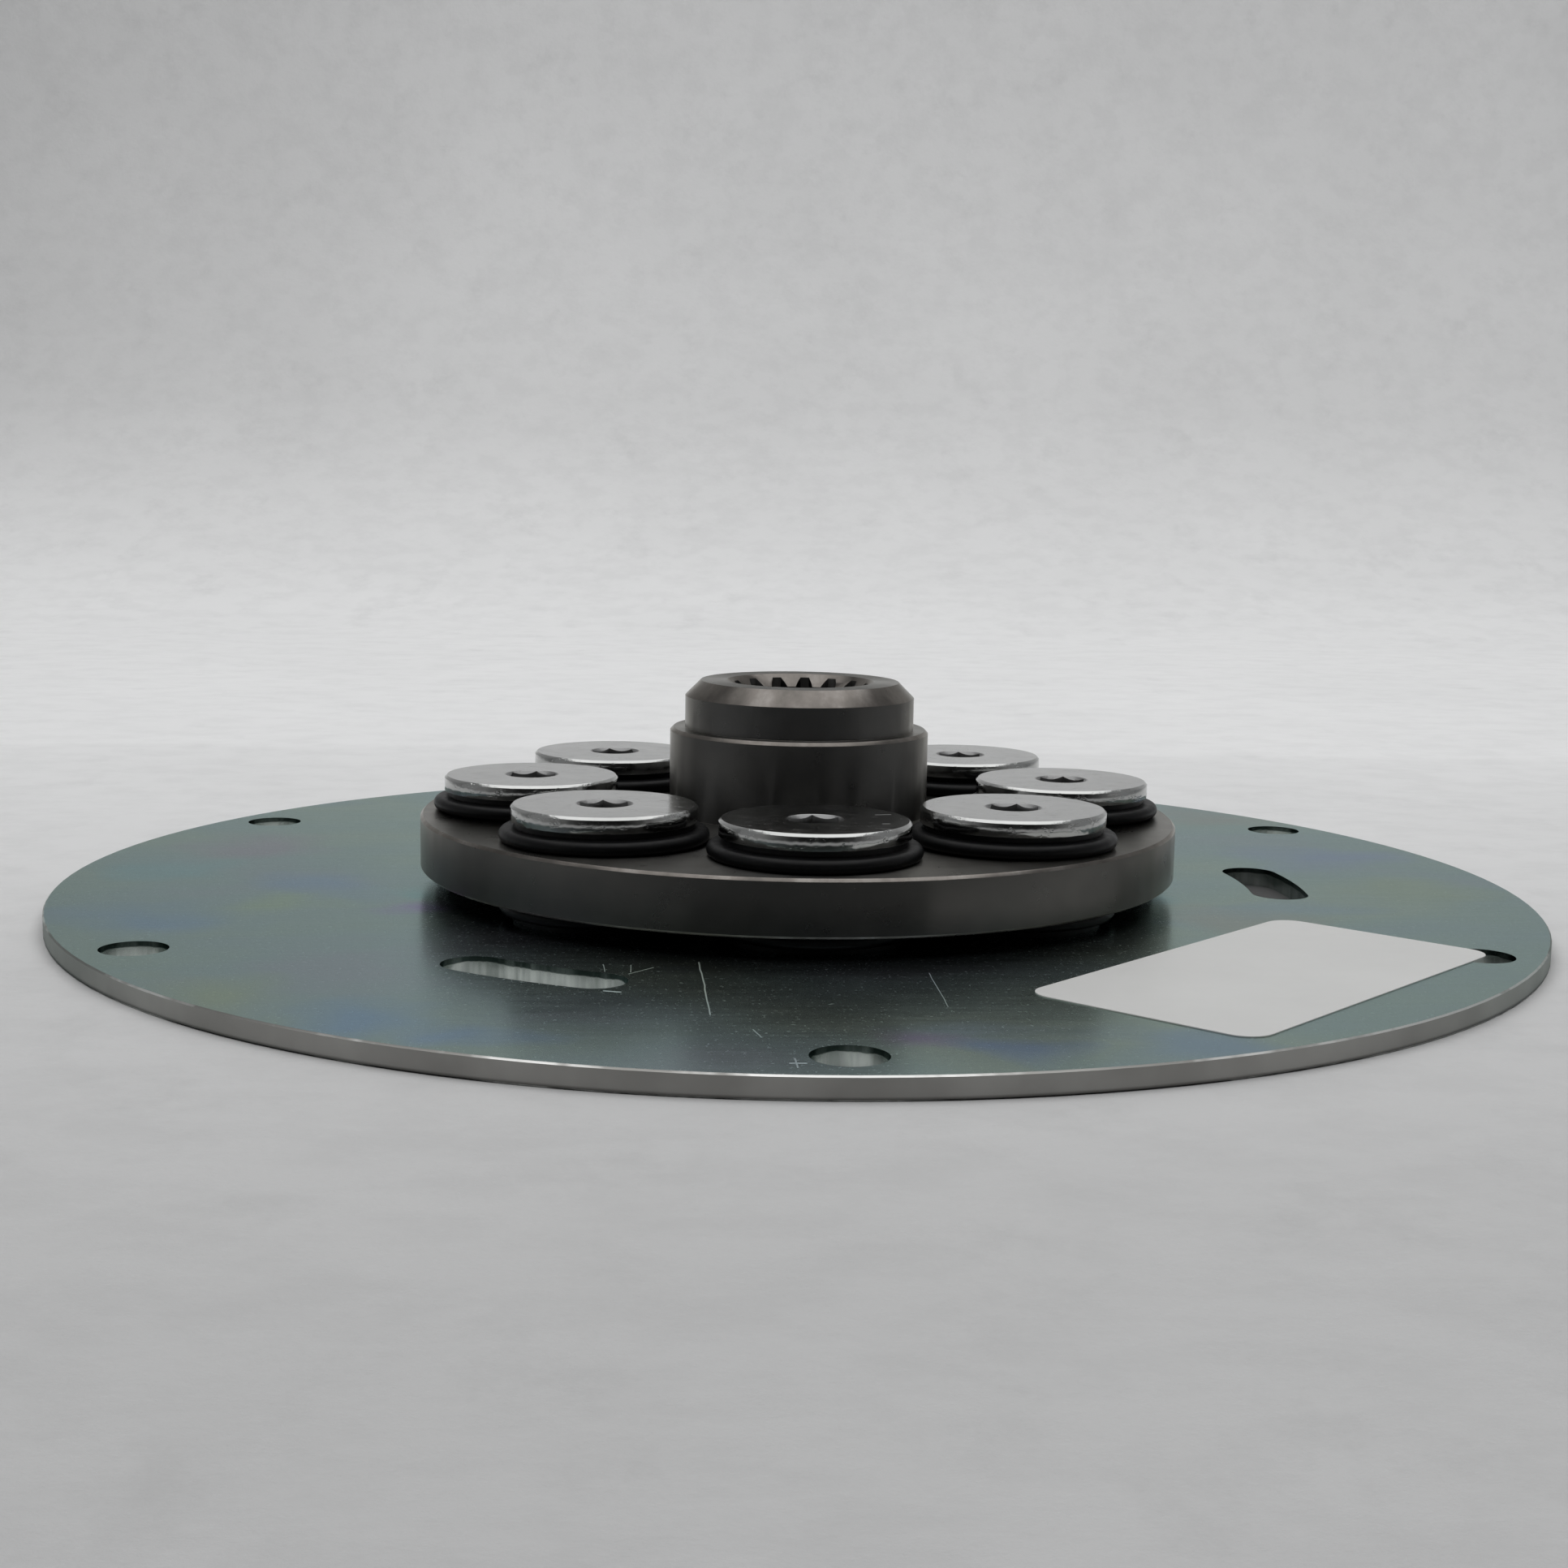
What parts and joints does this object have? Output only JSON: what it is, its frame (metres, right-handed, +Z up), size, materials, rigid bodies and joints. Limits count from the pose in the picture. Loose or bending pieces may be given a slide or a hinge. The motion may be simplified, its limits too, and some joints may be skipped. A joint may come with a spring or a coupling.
{
  "type": "torsional disc coupling",
  "caption": "Flat flywheel plate driving a splined pump hub through a ring of rubber bushings held by low-head socket screws.",
  "frame": {"origin": "centre of the flywheel plate's underside, on the shaft axis", "axes": "+Z up along the shaft axis, from the plate towards the hub's nose; bolt hole 1 and bushing 1 are on -Y"},
  "size_m": [0.2635, 0.2634, 0.0402],
  "materials": {
    "plate_steel": "zinc plated, satin to glossy",
    "hub_steel": "machined steel, dark, oiled satin",
    "bushing_rubber": "moulded, satin black",
    "sleeve_steel": "turned, zinc plated",
    "screw_steel": "turned, bright zinc plated",
    "sticker_paper": "white coated sticker, blank"
  },
  "bodies": {
    "root": {"flywheel_plate": "plate_steel", "splined_hub": "hub_steel", "rubber_bushing_1": "bushing_rubber", "rubber_bushing_2": "bushing_rubber", "rubber_bushing_3": "bushing_rubber", "rubber_bushing_4": "bushing_rubber", "rubber_bushing_5": "bushing_rubber", "rubber_bushing_6": "bushing_rubber", "rubber_bushing_7": "bushing_rubber", "rubber_bushing_8": "bushing_rubber", "spacer_sleeve_1": "sleeve_steel", "spacer_sleeve_2": "sleeve_steel", "spacer_sleeve_3": "sleeve_steel", "spacer_sleeve_4": "sleeve_steel", "spacer_sleeve_5": "sleeve_steel", "spacer_sleeve_6": "sleeve_steel", "spacer_sleeve_7": "sleeve_steel", "spacer_sleeve_8": "sleeve_steel", "cap_screw_1": "screw_steel", "cap_screw_2": "screw_steel", "cap_screw_3": "screw_steel", "cap_screw_4": "screw_steel", "cap_screw_5": "screw_steel", "cap_screw_6": "screw_steel", "cap_screw_7": "screw_steel", "cap_screw_8": "screw_steel"}
  },
  "joints": []
}
